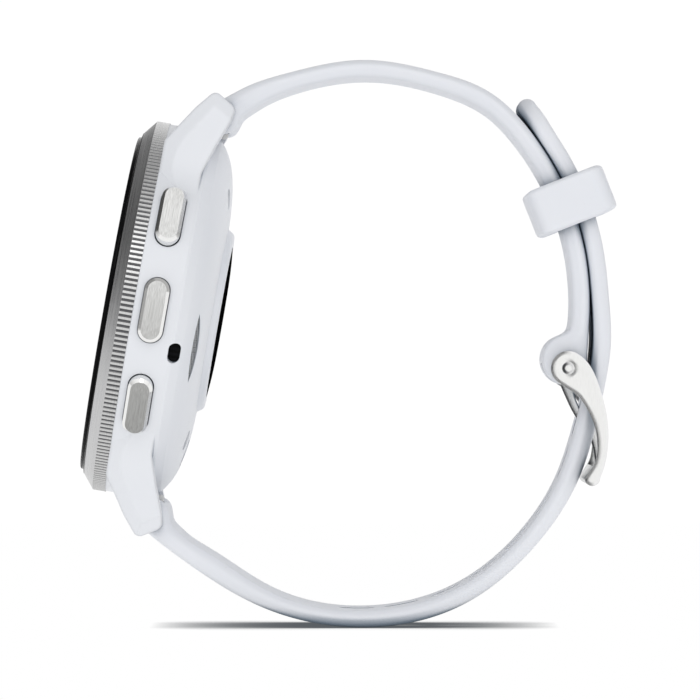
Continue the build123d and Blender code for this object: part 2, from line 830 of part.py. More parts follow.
# ---- Buckle: frame, pin and prong ----
knuckle_radius = 2.05
with BuildPart() as buckle_frame:
    with BuildSketch(SIDE):
        with BuildLine():
            outer_curve = Spline(
                around(buckle_pin_place, knuckle_radius, 60),
                (45.2, -8.0),
                (46.15, -12.5),
                (45.7, -17.2),
                (45.2, -18.5),
                tangents=(Vector(0.866, -0.5), Vector(-0.45, -0.89)),
            )
            bar_end = ThreePointArc(outer_curve @ 1, (44.1, -19.5), (43.35, -18.7))
            inner_curve = Spline(
                bar_end @ 1,
                (44.5, -16.9),
                (44.85, -14.0),
                (44.1, -11.2),
                (42.6, -8.8),
                around(buckle_pin_place, knuckle_radius, 235),
                tangents=(Vector(0.5, 0.87), Vector(-0.819, 0.574)),
            )
            ThreePointArc(inner_curve @ 1, around(buckle_pin_place, knuckle_radius, 150), outer_curve @ 0)
        make_face()
    extrude(amount=arm_inner_half + arm_thickness, both=True)
    with BuildSketch(SIDE):
        with Locations((43.0, -8.9)):
            Rectangle(16.0, 16.6)
    extrude(amount=arm_inner_half, both=True, mode=Mode.SUBTRACT)
    with BuildSketch(SIDE):
        with Locations((46.3, -18.5)):
            Rectangle(3.1, 5.0)
    extrude(amount=prong_half_width + 0.25, both=True, mode=Mode.SUBTRACT)
    with BuildSketch(SIDE):
        with Locations(buckle_pin_place):
            Circle(buckle_pin_radius)
    extrude(amount=arm_inner_half + arm_thickness, both=True, mode=Mode.SUBTRACT)
save(buckle_frame, "buckle_frame")

with BuildPart() as buckle_pin:
    with BuildSketch(SIDE):
        with Locations(buckle_pin_place):
            Circle(buckle_pin_radius)
    extrude(amount=arm_inner_half + arm_thickness - 0.1, both=True)
save(buckle_pin, "buckle_pin")

with BuildPart() as buckle_prong:
    with BuildSketch(SIDE):
        with BuildLine():
            near_side = Spline(
                around(buckle_pin_place, 1.55, 230),
                (41.5, -9.3),
                (42.6, -11.4),
                (44.25, -13.85),
                (44.85, -16.2),
                (44.9, -18.3),
            )
            tip = ThreePointArc(near_side @ 1, (45.3, -18.75), (45.65, -18.2))
            far_side = Spline(
                tip @ 1,
                (45.65, -16.0),
                (45.0, -13.3),
                (43.25, -10.6),
                (42.5, -8.9),
                around(buckle_pin_place, 1.55, -40),
            )
            ThreePointArc(far_side @ 1, around(buckle_pin_place, 1.55, 95), near_side @ 0)
        make_face()
        with Locations(buckle_pin_place):
            Circle(buckle_pin_radius + running_gap, mode=Mode.SUBTRACT)
    extrude(amount=prong_half_width, both=True)
    fillet(buckle_prong.edges().group_by(Axis.X)[-1], 0.2)
    fillet(buckle_prong.edges().group_by(Axis.X)[0], 0.2)
save(buckle_prong, "buckle_prong")
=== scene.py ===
import bmesh
import bpy
import json
import math
import numpy as np
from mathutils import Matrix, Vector


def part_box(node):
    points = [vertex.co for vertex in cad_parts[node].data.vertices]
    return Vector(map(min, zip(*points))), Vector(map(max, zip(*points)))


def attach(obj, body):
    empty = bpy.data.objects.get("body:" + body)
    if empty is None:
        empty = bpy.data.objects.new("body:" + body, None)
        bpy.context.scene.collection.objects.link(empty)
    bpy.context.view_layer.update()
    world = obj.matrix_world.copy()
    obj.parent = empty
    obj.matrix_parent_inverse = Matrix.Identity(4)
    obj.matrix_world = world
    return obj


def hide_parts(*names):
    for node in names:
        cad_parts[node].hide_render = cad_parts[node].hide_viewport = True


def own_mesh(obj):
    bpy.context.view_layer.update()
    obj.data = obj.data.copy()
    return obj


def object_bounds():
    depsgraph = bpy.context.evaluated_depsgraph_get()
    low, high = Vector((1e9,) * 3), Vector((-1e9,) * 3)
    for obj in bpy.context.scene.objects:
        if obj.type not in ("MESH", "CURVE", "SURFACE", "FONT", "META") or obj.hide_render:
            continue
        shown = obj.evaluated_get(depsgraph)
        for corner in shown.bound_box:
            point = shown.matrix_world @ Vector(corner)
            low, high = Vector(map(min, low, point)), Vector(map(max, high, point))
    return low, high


# Looks of the GPS running watch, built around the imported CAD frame. Metres, +Z up, display towards -Y.
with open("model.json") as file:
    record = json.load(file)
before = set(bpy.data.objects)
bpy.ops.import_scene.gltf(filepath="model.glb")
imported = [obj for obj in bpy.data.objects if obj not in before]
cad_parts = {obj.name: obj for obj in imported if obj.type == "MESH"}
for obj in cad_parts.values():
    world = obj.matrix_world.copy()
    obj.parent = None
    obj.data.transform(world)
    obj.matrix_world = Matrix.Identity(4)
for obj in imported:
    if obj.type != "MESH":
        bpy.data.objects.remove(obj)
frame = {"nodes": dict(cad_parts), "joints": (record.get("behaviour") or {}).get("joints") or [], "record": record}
cad_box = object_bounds()

MM = 0.001
record = frame["record"]
mounts = {mount["name"]: mount for mount in record["mounts"]}
joints = {joint["name"]: joint for joint in frame["joints"]}
nodes = frame["nodes"]

ACROSS = Vector((1, 0, 0))
HEAD_AXIS = -Vector(mounts["rear_sensor_face"]["axis"]).normalized()
HEAD_UP = HEAD_AXIS.cross(ACROSS)
WRAP_CENTRE = Vector(joints["keeper_slide"]["pos_m"])
BUCKLE_PIN = Vector(joints["buckle_swing"]["pos_m"])

# The bezel along the head's axis: its ribs end at RIBS_FRONT and the blackened lip starts at LIP_REAR.
HEAD_RADIUS = 22.5 * MM
RIB_COUNT = 228
RIBS_FRONT = 11.79 * MM
LIP_REAR = 13.1 * MM

# Depths of the relief that only the light shows.
TOOL_MARKS = 2e-6
MOULD_GRAIN = 4e-6


# ---- Materials ----
def add_node(tree, kind, inputs=None, **settings):
    """Add a shader node with its inputs set or linked, and return its first output."""
    made = tree.nodes.new("ShaderNode" + kind)
    for name, value in settings.items():
        setattr(made, name, value)
    for key, value in (inputs or {}).items():
        if isinstance(value, bpy.types.NodeSocket):
            tree.links.new(value, made.inputs[key])
        else:
            made.inputs[key].default_value = value
    return made.outputs[0]


class Shader:
    """A node material under construction, with textures laid out on the frame's own coordinates."""

    def __init__(self, name, **inputs):
        self.material = bpy.data.materials.new(name)
        self.material.use_nodes = True
        self.tree = self.material.node_tree
        self.surface = self.tree.nodes["Principled BSDF"]
        self.place = self.node("TexCoord").node.outputs["Object"]
        self.set(**inputs)

    def node(self, kind, inputs=None, **settings):
        return add_node(self.tree, kind, inputs, **settings)

    def set(self, **inputs):
        """Set or link inputs of the surface; underscores stand for spaces."""
        for key, value in inputs.items():
            socket = self.surface.inputs[key.replace("_", " ")]
            if isinstance(value, bpy.types.NodeSocket):
                self.tree.links.new(value, socket)
            elif socket.type == "RGBA":
                socket.default_value = (*value, 1)
            else:
                socket.default_value = value

    def math(self, operation, first, second=0.0):
        return self.node("Math", {0: first, 1: second}, operation=operation)

    def vector(self, operation, first, second=(0, 0, 0)):
        return self.node("VectorMath", {0: first, 1: second}, operation=operation)

    def dot(self, first, second):
        return self.vector("DOT_PRODUCT", first, second).node.outputs["Value"]

    def combine(self, x, y, z):
        return self.node("CombineXYZ", {0: x, 1: y, 2: z})

    def span(self, value, low, high, to_low=0.0, to_high=1.0):
        """Map a value's range low..high smoothly to another."""
        inputs = {"Value": value, 1: low, 2: high, 3: to_low, 4: to_high}
        return self.node("MapRange", inputs, interpolation_type="SMOOTHSTEP")

    def mix(self, share, first, second, blend_type="MIX"):
        """Blend two colours."""
        colours = [c if isinstance(c, bpy.types.NodeSocket) else (*c, 1) for c in (first, second)]
        inputs = {0: share, 6: colours[0], 7: colours[1]}
        made = self.node("Mix", inputs, data_type="RGBA", blend_type=blend_type)
        return made.node.outputs[2]

    def noise(self, scale, place=None, detail=2.0):
        place = self.place if place is None else place
        return self.node("TexNoise", {"Vector": place, "Scale": scale, "Detail": detail})

    def crevice_shade(self, reach, strength=1.0):
        """Share of painted shade: one in tight gaps between surfaces, zero out in the open."""
        seen = self.node("AmbientOcclusion", {"Distance": reach}, samples=8).node.outputs["AO"]
        return self.span(seen, 0.80, 0.25, 0.0, strength)

    def rounded(self, radius):
        """Surface direction with sharp edges rounded off."""
        return self.node("Bevel", {"Radius": radius}, samples=6)

    def bump(self, height, depth):
        """Raise the surface by depth metres where height is one."""
        bumped = self.node("Bump", {"Height": height, "Distance": depth, "Strength": 1.0})
        self.set(Normal=bumped)

    def round_head(self):
        """Radius, height and turn of a point about the head's axis."""
        height = self.dot(self.place, HEAD_AXIS)
        out = self.vector("SUBTRACT", self.place, self.vector("MULTIPLY", tuple(HEAD_AXIS), height))
        radius = self.vector("LENGTH", out).node.outputs["Value"]
        turn = self.math("ARCTAN2", self.dot(self.place, HEAD_UP), self.dot(self.place, ACROSS))
        return out, radius, height, turn


def moulded(name, dark, light, roughness, grain=9000, depth=MOULD_GRAIN):
    """Moulded plastic: faint cloudiness of colour and a fine spark-eroded grain."""
    shader = Shader(name)
    shader.set(Base_Color=shader.mix(shader.noise(140, detail=4), dark, light))
    fine = shader.noise(grain, detail=1)
    shader.set(Roughness=shader.span(fine, 0.3, 0.7, roughness - 0.05, roughness + 0.06))
    shader.bump(fine, depth)
    return shader.material


# The colour of the painted shade that white pieces darken to in gaps.
SHADE = (0.20, 0.25, 0.31)


def case_polymer():
    """Satin polymer with painted shade where pieces meet, with the lugs' edges rounded."""
    shader = Shader("case_polymer", Specular_IOR_Level=0.45)
    body = shader.mix(shader.noise(140, detail=4), (0.755, 0.775, 0.815), (0.785, 0.80, 0.835))
    # Painted shade: the polymer darkens towards SHADE in the gaps between pieces.
    shader.set(Base_Color=shader.mix(shader.crevice_shade(1.2 * MM, 0.8), body, SHADE))
    fine = shader.noise(9000, detail=1)
    shader.set(Roughness=shader.span(fine, 0.3, 0.7, 0.31, 0.42))
    radius = shader.round_head()[1]
    on_lug = shader.math("GREATER_THAN", radius, HEAD_RADIUS)
    plain = shader.node("NewGeometry").node.outputs["Normal"]
    direction = shader.node("Mix", {0: on_lug, 4: plain, 5: shader.rounded(0.6 * MM)}, data_type="VECTOR")
    direction = direction.node.outputs[1]
    shader.set(Normal=shader.node("Bump", {"Height": fine, "Distance": MOULD_GRAIN, "Normal": direction}))
    return shader.material


def strap_silicone():
    """Soft satin silicone with a little light inside, a dusting of lint and painted shade in gaps."""
    shader = Shader("strap_silicone", Subsurface_Weight=0.12, Subsurface_Scale=0.9 * MM,
                    Subsurface_Radius=(1.0, 0.95, 0.9), Specular_IOR_Level=0.4)
    cloud = shader.noise(110, detail=4)
    body = shader.mix(cloud, (0.745, 0.765, 0.81), (0.78, 0.795, 0.835))
    lint = shader.span(shader.noise(2600, detail=5), 0.70, 0.78)
    dusty = shader.mix(lint, body, (0.70, 0.71, 0.73))
    # Painted shade: the silicone darkens towards SHADE within 4 mm of other surfaces.
    shader.set(Base_Color=shader.mix(shader.crevice_shade(4.0 * MM), dusty, SHADE))
    fine = shader.noise(5200, detail=3)
    shader.set(Roughness=shader.span(fine, 0.3, 0.7, 0.44, 0.56))
    shader.bump(fine, TOOL_MARKS)
    return shader.material


def turned_steel(name, dark, light, roughness, polished_and_lit=False, ribbed=False):
    """Steel brushed in circles round the head's axis.

    polished_and_lit is for the buttons: it polishes what is off the brushed face, paints light on the upper ones
    and paints shade on the lower ones.
    ribbed is for the bezel: it paints shade into the grooves between the ribs and blackens the lip round the
    glass.
    """
    lines_per_metre = 16000
    lines_per_turn = 2.4
    shader = Shader(name, Metallic=1.0, Anisotropic=0.75)
    out, radius, height, turn = shader.round_head()
    lines = shader.combine(shader.math("MULTIPLY", radius, lines_per_metre),
                           shader.math("MULTIPLY", height, lines_per_metre),
                           shader.math("MULTIPLY", turn, lines_per_turn))
    brush = shader.noise(1.0, lines, detail=3)
    steel = shader.mix(shader.span(brush, 0.3, 0.7), dark, light)
    rough = shader.span(brush, 0.3, 0.7, roughness - 0.05, roughness + 0.07)
    shader.set(Tangent=shader.vector("CROSS_PRODUCT", tuple(HEAD_AXIS), shader.place))
    if polished_and_lit:
        facing = shader.dot(shader.node("NewGeometry").node.outputs["True Normal"],
                            shader.vector("NORMALIZE", out))
        brushed = shader.math("GREATER_THAN", facing, 0.9)
        # Painted light and shade: the steel is brightened higher up and darkened lower down, as the light falls.
        lit = shader.span(shader.dot(shader.place, (0, 0, 1)), -14 * MM, 14 * MM)
        painted_light_tone = shader.mix(lit, (0.72, 0.72, 0.72), (1.45, 1.45, 1.46))
        steel = shader.mix(1.0, steel, painted_light_tone, blend_type="MULTIPLY")
        steel = shader.mix(brushed, (0.86, 0.86, 0.85), steel)
        rough = shader.node("Mix", {0: brushed, 2: 0.12, 3: rough})
    if ribbed:
        # Painted shade: dark lines at the grooves between the ribs, where shade falls.
        wave = shader.math("COSINE", shader.math("MULTIPLY", turn, RIB_COUNT))
        ribs = shader.mix(shader.span(wave, -0.3, 0.7), (0.60, 0.60, 0.60), (0.10, 0.10, 0.105))
        chamfer = shader.math("GREATER_THAN", height, RIBS_FRONT)
        steel = shader.mix(chamfer, ribs, steel)
        lip = shader.math("GREATER_THAN", height, LIP_REAR)
        steel = shader.mix(lip, steel, (0.001, 0.001, 0.001))
        brush = shader.math("MULTIPLY", brush, chamfer)
    shader.set(Base_Color=steel, Roughness=rough)
    shader.bump(brush, TOOL_MARKS)
    return shader.material


def buckle_steel():
    """Buckle steel: brushed sides with a painted shade ring round the pin's end, all other faces polished.

    Polished faces turned towards the head are painted dark, a painted reflection of the strap's shade.
    """
    ring_radius = 0.56 * MM
    ring_half_width = 0.15 * MM
    shader = Shader("buckle_steel", Metallic=1.0)
    rounded = shader.rounded(0.9 * MM)
    facing = shader.math("ABSOLUTE", shader.dot(rounded, ACROSS))
    side = shader.math("GREATER_THAN", facing, 0.965)
    lines = shader.vector("MULTIPLY", shader.place, (900, 15000, 900))
    brush = shader.noise(1.0, lines, detail=3)
    satin = shader.mix(brush, (0.72, 0.72, 0.71), (0.90, 0.90, 0.89))
    # Painted reflection: polished faces turned towards -Y are darkened as if they mirrored the strap's shade.
    reflected_shade = shader.span(shader.dot(rounded, (0, 1, 0)), 0.15, -0.25)
    polished = shader.mix(reflected_shade, (0.82, 0.82, 0.82), (0.025, 0.026, 0.03))
    arm = shader.mix(side, polished, satin)
    # Painted shade: a dark ring on the brushed sides round the pin's end stands for the shadow of its chamfer.
    off_pin = shader.vector("SUBTRACT", shader.place, tuple(BUCKLE_PIN))
    from_pin = shader.vector("LENGTH", shader.vector("MULTIPLY", off_pin, (0, 1, 1))).node.outputs["Value"]
    ring = shader.math("COMPARE", from_pin, ring_radius)
    ring.node.inputs[2].default_value = ring_half_width
    pin_shade_ring = shader.math("MULTIPLY", ring, side)
    shader.set(Base_Color=shader.mix(pin_shade_ring, arm, (0.16, 0.165, 0.17)))
    rough = shader.span(brush, 0.3, 0.7, 0.34, 0.46)
    polish = shader.span(shader.noise(1800, detail=5), 0.3, 0.8, 0.10, 0.2)
    shader.set(Roughness=shader.node("Mix", {0: side, 2: polish, 3: rough}))
    shader.bump(brush, TOOL_MARKS)
    return shader.material


def machined(name, dark, light, roughness):
    """Plain small metal part with fine tool marks that run across X."""
    marks_per_metre = (15000, 2500, 2500)
    shader = Shader(name, Metallic=1.0)
    marks = shader.noise(1.0, shader.vector("MULTIPLY", shader.place, marks_per_metre), detail=3)
    shader.set(Base_Color=shader.mix(marks, dark, light))
    shader.set(Roughness=shader.span(marks, 0.3, 0.7, roughness - 0.06, roughness + 0.08))
    shader.bump(marks, TOOL_MARKS)
    return shader.material


def dark_glass(name, colour, film, shine=0.5):
    """Black-backed glass with an anti-reflection tint and faint fingerprints."""
    shader = Shader(name, Specular_IOR_Level=shine)
    smear = shader.span(shader.noise(160, detail=6), 0.45, 0.75)
    shader.set(Base_Color=shader.mix(smear, colour, film))
    shader.set(Roughness=shader.span(smear, 0.0, 1.0, 0.03, 0.09))
    return shader.material


def rubber(name, colour):
    return moulded(name, colour, tuple(1.5 * c for c in colour), 0.62, grain=4000, depth=8e-6)


def perforated_steel():
    """Speaker mesh: a hexagonal field of punched holes in steel."""
    shader = Shader("steel_mesh", Metallic=0.9)
    cells = shader.node("TexVoronoi", {"Vector": shader.place, "Scale": 3600, "Randomness": 0.15})
    solid = shader.span(cells, 0.28, 0.42)
    shader.set(Base_Color=shader.mix(solid, (0.03, 0.03, 0.035), (0.36, 0.37, 0.38)))
    shader.set(Roughness=shader.span(solid, 0.0, 1.0, 0.8, 0.38))
    shader.bump(solid, 6e-5)
    return shader.material


def black_mesh():
    """Woven acoustic mesh over the microphone."""
    shader = Shader("black_mesh", Roughness=0.8, Specular_IOR_Level=0.1)
    weave = shader.node("TexWave", {"Vector": shader.place, "Scale": 2200, "Distortion": 0.4})
    shader.set(Base_Color=shader.mix(weave, (0.001, 0.001, 0.001), (0.005, 0.005, 0.006)))
    shader.bump(weave, 2e-5)
    return shader.material


def circuit_board():
    """Solder mask over blocks of routed copper."""
    shader = Shader("circuit_board", Coat_Weight=0.3, Coat_Roughness=0.15)
    runs = shader.node("TexVoronoi", {"Vector": shader.place, "Scale": 520, "Randomness": 0.8},
                       distance="CHEBYCHEV", feature="F1")
    copper = shader.span(runs, 0.32, 0.36)
    shader.set(Base_Color=shader.mix(copper, (0.008, 0.075, 0.035), (0.02, 0.15, 0.07)))
    shader.set(Roughness=shader.span(copper, 0.0, 1.0, 0.42, 0.3))
    shader.bump(copper, 3e-5)
    return shader.material


def battery_foil():
    """Crinkled aluminium laminate."""
    shader = Shader("battery_foil", Metallic=0.85)
    crease = shader.noise(260, detail=6)
    shader.set(Base_Color=shader.mix(crease, (0.42, 0.42, 0.44), (0.66, 0.66, 0.68)))
    shader.set(Roughness=shader.span(crease, 0.3, 0.7, 0.28, 0.45))
    shader.bump(crease, 1e-4)
    return shader.material


def clear_resin(name, colour, glow):
    """Cloudy moulded resin over a small die."""
    shader = Shader(name, Coat_Weight=0.7, Coat_Roughness=0.05)
    cloud = shader.noise(900, detail=4)
    shader.set(Base_Color=shader.mix(cloud, colour, glow))
    shader.set(Roughness=shader.span(cloud, 0.3, 0.7, 0.15, 0.3))
    shader.bump(cloud, 1e-5)
    return shader.material


MATERIALS = {
    "cover_glass": dark_glass("cover_glass", (0.0015, 0.0015, 0.0018), (0.003, 0.003, 0.004), 0.06),
    "gasket_rubber": rubber("gasket_rubber", (0.02, 0.02, 0.02)),
    "clear_film": clear_resin("clear_film", (0.5, 0.5, 0.5), (0.6, 0.6, 0.6)),
    "display_panel": dark_glass("display_panel", (0.003, 0.003, 0.004), (0.005, 0.005, 0.007)),
    "flex_circuit": moulded("flex_circuit", (0.30, 0.14, 0.02), (0.38, 0.19, 0.04), 0.35),
    "bezel_steel": turned_steel("bezel_steel", (0.50, 0.50, 0.51), (0.66, 0.66, 0.66), 0.3, ribbed=True),
    "case_polymer": case_polymer(),
    "black_mesh": black_mesh(),
    "component_black": moulded("component_black", (0.02, 0.02, 0.02), (0.035, 0.035, 0.035), 0.5),
    "steel_mesh": perforated_steel(),
    "screw_steel": machined("screw_steel", (0.5, 0.5, 0.5), (0.66, 0.66, 0.66), 0.25),
    "port_polymer": moulded("port_polymer", (0.55, 0.57, 0.60), (0.61, 0.63, 0.66), 0.45),
    "contact_gold": machined("contact_gold", (0.75, 0.5, 0.18), (0.9, 0.64, 0.28), 0.22),
    "sensor_glass": dark_glass("sensor_glass", (0.0015, 0.0015, 0.0018), (0.002, 0.002, 0.002), 0.0),
    "circuit_board": circuit_board(),
    "led_resin": clear_resin("led_resin", (0.08, 0.45, 0.14), (0.3, 0.7, 0.3)),
    "photodiode": clear_resin("photodiode", (0.01, 0.01, 0.03), (0.03, 0.03, 0.08)),
    "battery_foil": battery_foil(),
    "shield_steel": machined("shield_steel", (0.45, 0.45, 0.46), (0.6, 0.6, 0.61), 0.35),
    "chassis_polymer": moulded("chassis_polymer", (0.03, 0.03, 0.03), (0.05, 0.05, 0.05), 0.5),
    "antenna_gold": machined("antenna_gold", (0.7, 0.48, 0.18), (0.85, 0.6, 0.27), 0.3),
    "rotor_tungsten": machined("rotor_tungsten", (0.16, 0.16, 0.17), (0.26, 0.26, 0.27), 0.4),
    "strap_silicone": strap_silicone(),
    "buckle_steel": buckle_steel(),
    "button_steel": turned_steel("button_steel", (0.40, 0.40, 0.39), (0.56, 0.56, 0.55), 0.33,
                                 polished_and_lit=True),
    "bar_steel": machined("bar_steel", (0.5, 0.5, 0.5), (0.68, 0.68, 0.67), 0.3),
}

for part in record["subparts"]:
    for material_slot in nodes[part["node"]].material_slots:
        material_slot.material = MATERIALS[part["material_slot"]]


# ---- Silicone straps and keeper, modelled as swept meshes ----
# Planes that cut the CAD straps beside their holes and through the holes' middle.
SECTION_X = 5 * MM
MIDDLE_X = 0.01 * MM
SMOOTHING = 6


def side_cut(node, x):
    """Segments where the plane at x cuts a CAD node, as Y and Z from the wrap's centre."""
    cut = bmesh.new()
    cut.from_mesh(nodes[node].data)
    geometry = cut.verts[:] + cut.edges[:] + cut.faces[:]
    found = bmesh.ops.bisect_plane(cut, geom=geometry, plane_co=(x, 0, 0), plane_no=(1, 0, 0))["geom_cut"]
    edges = [item for item in found if isinstance(item, bmesh.types.BMEdge)]
    ends = [[(vertex.co - WRAP_CENTRE).yz for vertex in edge.verts] for edge in edges]
    segments = np.array(ends)
    cut.free()
    return segments


def ray_hits(segments, angle):
    """Nearest and farthest distance at which a ray from the wrap's centre meets the segments, or None."""
    direction = np.array([math.cos(angle), math.sin(angle)])
    normal = np.array([-direction[1], direction[0]])
    side_a = segments[:, 0] @ normal
    side_b = segments[:, 1] @ normal
    crossing = (side_a <= 0) != (side_b <= 0)
    if not crossing.any():
        return None
    share = (side_a / np.where(crossing, side_a - side_b, 1))[crossing]
    points = segments[crossing, 0] + share[:, None] * (segments[crossing, 1] - segments[crossing, 0])
    distance = points @ direction
    distance = distance[distance > 0]
    if len(distance) < 2:
        return None
    return distance.min(), distance.max()


def strap_faces(node, stations):
    """Inner and outer side-view points of a strap, evenly spread but closer together near its ends."""
    segments = side_cut(node, SECTION_X)
    angles = np.unwrap(np.sort(np.arctan2(segments[..., 1], segments[..., 0]).ravel()))
    margin = 1e-4
    rays = 1600
    fan = np.linspace(angles.min() + margin, angles.max() - margin, rays)
    hits = np.array([ray_hits(segments, angle) for angle in fan])
    spokes = np.stack([np.cos(fan), np.sin(fan)], axis=1)
    inner = spokes * hits[:, :1]
    outer = spokes * hits[:, 1:]
    middle = (inner + outer) / 2
    run = np.concatenate([[0], np.cumsum(np.linalg.norm(np.diff(middle, axis=0), axis=1))])
    share = (1 - np.cos(np.pi * np.linspace(0, 1, stations))) / 2
    wanted = run[-1] * share

    def at(points):
        return np.stack([np.interp(wanted, run, points[:, axis]) for axis in (0, 1)], axis=1)

    return at(inner), at(outer), wanted


def smooth_rows(rows, passes, ends=8):
    """Take the facets out of rows of points, leaving those near both ends."""
    rows = rows.copy()
    for _ in range(passes):
        rows[ends:-ends] = (rows[ends - 1:-ends - 1] + 2 * rows[ends:-ends] + rows[ends + 1:-ends + 1]) / 4
    return rows


def curve_through(points, count):
    """Catmull-Rom curve through the points, count steps to each stretch."""
    points = [2 * points[0] - points[1], *points, 2 * points[-1] - points[-2]]
    curve = []
    for a, b, c, d in zip(points, points[1:], points[2:], points[3:]):
        for step in range(count):
            t = step / count
            curve.append(0.5 * (2 * b + (c - a) * t + (2 * a - 5 * b + 4 * c - d) * t * t
                                + (3 * b - a - 3 * c + d) * t ** 3))
    curve.append(points[-2])
    return curve


def loft(name, rings, closed=False):
    """A silicone piece through rings of equally many points, capped at both ends unless closed."""
    mesh = bmesh.new()
    rows = [[mesh.verts.new(point) for point in ring] for ring in rings]
    count = len(rows[0])
    pairs = list(zip(rows, rows[1:] + rows[:1])) if closed else list(zip(rows, rows[1:]))
    for row, following in pairs:
        for i in range(count):
            k = (i + 1) % count
            mesh.faces.new((row[i], row[k], following[k], following[i]))
    if not closed:
        mesh.faces.new(rows[0][::-1])
        mesh.faces.new(rows[-1])
    bmesh.ops.recalc_face_normals(mesh, faces=mesh.faces)
    data = bpy.data.meshes.new(name)
    mesh.to_mesh(data)
    mesh.free()
    piece = bpy.data.objects.new(name, data)
    bpy.context.scene.collection.objects.link(piece)
    data.materials.append(MATERIALS["strap_silicone"])
    data.polygons.foreach_set("use_smooth", [True] * len(data.polygons))
    return piece


EDGE_IN = 1.05 * MM


def strap_section(crest):
    """Strap edge from the inner to the outer face: share of EDGE_IN from the side, share of the thickness.

    crest is the share of the thickness where the edge stands out farthest.
    """
    shape = [(1.0, 0.0), (0.62, 0.03), (0.30, 0.16), (0.06, crest - 0.14), (0.0, crest),
             (0.05, crest + 0.15), (0.28, 0.85), (0.62, 0.97), (1.0, 1.0)]
    return curve_through([Vector(point) for point in shape], 3)


def strap_rings(inner, outer, half_widths, crest):
    """Closed section rings along a strap."""
    edge = strap_section(crest)
    across = [-0.6, -0.2, 0.2, 0.6]
    rings = []
    for near, far, half in zip(inner, outer, half_widths):
        def spot(x, through):
            y, z = near + (far - near) * through
            return WRAP_CENTRE + Vector((x, y, z))

        flat = half - EDGE_IN
        right = [spot(half - EDGE_IN * point.x, point.y) for point in edge]
        left = [spot(EDGE_IN * point.x - half, point.y) for point in reversed(edge)]
        outside = [spot(-x * flat, 1) for x in across]
        inside = [spot(x * flat, 0) for x in across]
        rings.append([*right, *outside, *left, *inside])
    return rings


def cutter(rings):
    """A hidden solid for cutting, which carve removes again."""
    solid = loft("cutter", rings)
    solid.hide_render = True
    return solid


def carve(piece, solids):
    """Cut solids out of a piece for good."""
    for solid in solids:
        cut = piece.modifiers.new("cut", "BOOLEAN")
        cut.operation = "DIFFERENCE"
        cut.object = solid
        cut.solver = "EXACT"
        with bpy.context.temp_override(object=piece, active_object=piece):
            bpy.ops.object.modifier_apply(modifier=cut.name)
        bpy.data.objects.remove(solid)


def bar_solid(centre, radius, low, high, sides=48):
    """A round bar along X."""
    ring = [(radius * math.cos(2 * math.pi * i / sides), radius * math.sin(2 * math.pi * i / sides))
            for i in range(sides)]
    return cutter([[Vector((x, centre.y + y, centre.z + z)) for y, z in ring] for x in (low, high)])


CUT_DEPTH = 3 * MM


def slot_solid(centre, along, length, width, through, corner_steps=12):
    """A stadium-shaped prism through a strap; along runs along the strap, through across its thickness."""
    straight = (length - width) / 2
    outline = []
    for end, start in ((1, -90), (-1, 90)):
        for step in range(corner_steps + 1):
            turn = math.radians(start + 180 * step / corner_steps)
            outline.append((end * straight + width / 2 * math.cos(turn), width / 2 * math.sin(turn)))
    rings = []
    for depth in (-CUT_DEPTH, CUT_DEPTH):
        rings.append([centre + along * a + ACROSS * b + through * depth for a, b in outline])
    return cutter(rings)


def tidy_shading(piece):
    """Smooth shading broken only at cut edges."""
    edge_angle = math.radians(32)
    with bpy.context.temp_override(object=piece, active_object=piece, selected_editable_objects=[piece]):
        bpy.ops.object.shade_smooth_by_angle(angle=edge_angle)


TIP_HALF_WIDTH = 10.2 * MM
LUG_HALF_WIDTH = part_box("lower_strap")[1].x
TAPER_START = 6 * MM
TAPER_LENGTH = 30 * MM
PAST_SIDES = 12 * MM


def strap_half_width(y):
    """Half-width of the strap where it lies at y: full at the lugs, narrower past the buckle."""
    share = min(1.0, max(0.0, (y - TAPER_START) / TAPER_LENGTH))
    return LUG_HALF_WIDTH + (TIP_HALF_WIDTH - LUG_HALF_WIDTH) * share


def bar_cuts(place):
    """Bore for the spring bar and the slot that the release lever slides in."""
    bore_radius = 0.95 * MM
    slot_reach = 5.5 * MM
    slot_half_height = 0.65 * MM
    slot_ends = (5.7 * MM, 8.7 * MM)
    low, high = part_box(f"{place}_spring_bar_tube")
    centre = (low + high) / 2
    lever_low, lever_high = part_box(f"{place}_release_pin")
    lever = (lever_low + lever_high) / 2 - centre
    lever.x = 0
    lever.normalize()
    across = ACROSS.cross(lever)
    bore = bar_solid(centre, bore_radius, -PAST_SIDES, PAST_SIDES)
    corners = [(0, -slot_half_height), (slot_reach, -slot_half_height), (slot_reach, slot_half_height),
               (0, slot_half_height)]
    slot = cutter([[Vector((x, centre.y, centre.z)) + lever * a + across * b for a, b in corners]
                   for x in slot_ends])
    return [bore, slot]


def upper_strap():
    """The short strap, with a notch for the prong and a bore for the buckle's pin."""
    notch_radius = 3.0 * MM
    notch_half_width = 1.25 * MM
    pin_bore_radius = 0.8 * MM
    inner, outer, _ = strap_faces("upper_strap", stations=220)
    inner, outer = smooth_rows(inner, SMOOTHING), smooth_rows(outer, SMOOTHING)
    widths = [strap_half_width(WRAP_CENTRE.y + point[0]) for point in outer]
    piece = loft("upper_strap_silicone", strap_rings(inner, outer, widths, crest=0.57))
    notch = bar_solid(BUCKLE_PIN, notch_radius, -notch_half_width, notch_half_width)
    pin_bore = bar_solid(BUCKLE_PIN, pin_bore_radius, -PAST_SIDES, PAST_SIDES)
    carve(piece, [*bar_cuts("upper"), notch, pin_bore])
    tidy_shading(piece)
    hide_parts("upper_strap")
    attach(piece, "watch")


def hole_angles():
    """Wrap angles of the adjustment holes' middles: there a ray in the middle plane meets nothing."""
    segments = side_cut("lower_strap", MIDDLE_X)
    angles = np.arctan2(segments[..., 1], segments[..., 0])
    margin = 0.02
    rays = 4000
    fan = np.linspace(angles.min() + margin, angles.max() - margin, rays)
    missed = [ray_hits(segments, angle) is None for angle in fan]
    holes, start = [], None
    for angle, empty in zip(fan, missed):
        if empty and start is None:
            start = angle
        if not empty and start is not None:
            holes.append((start + angle) / 2)
            start = None
    return holes


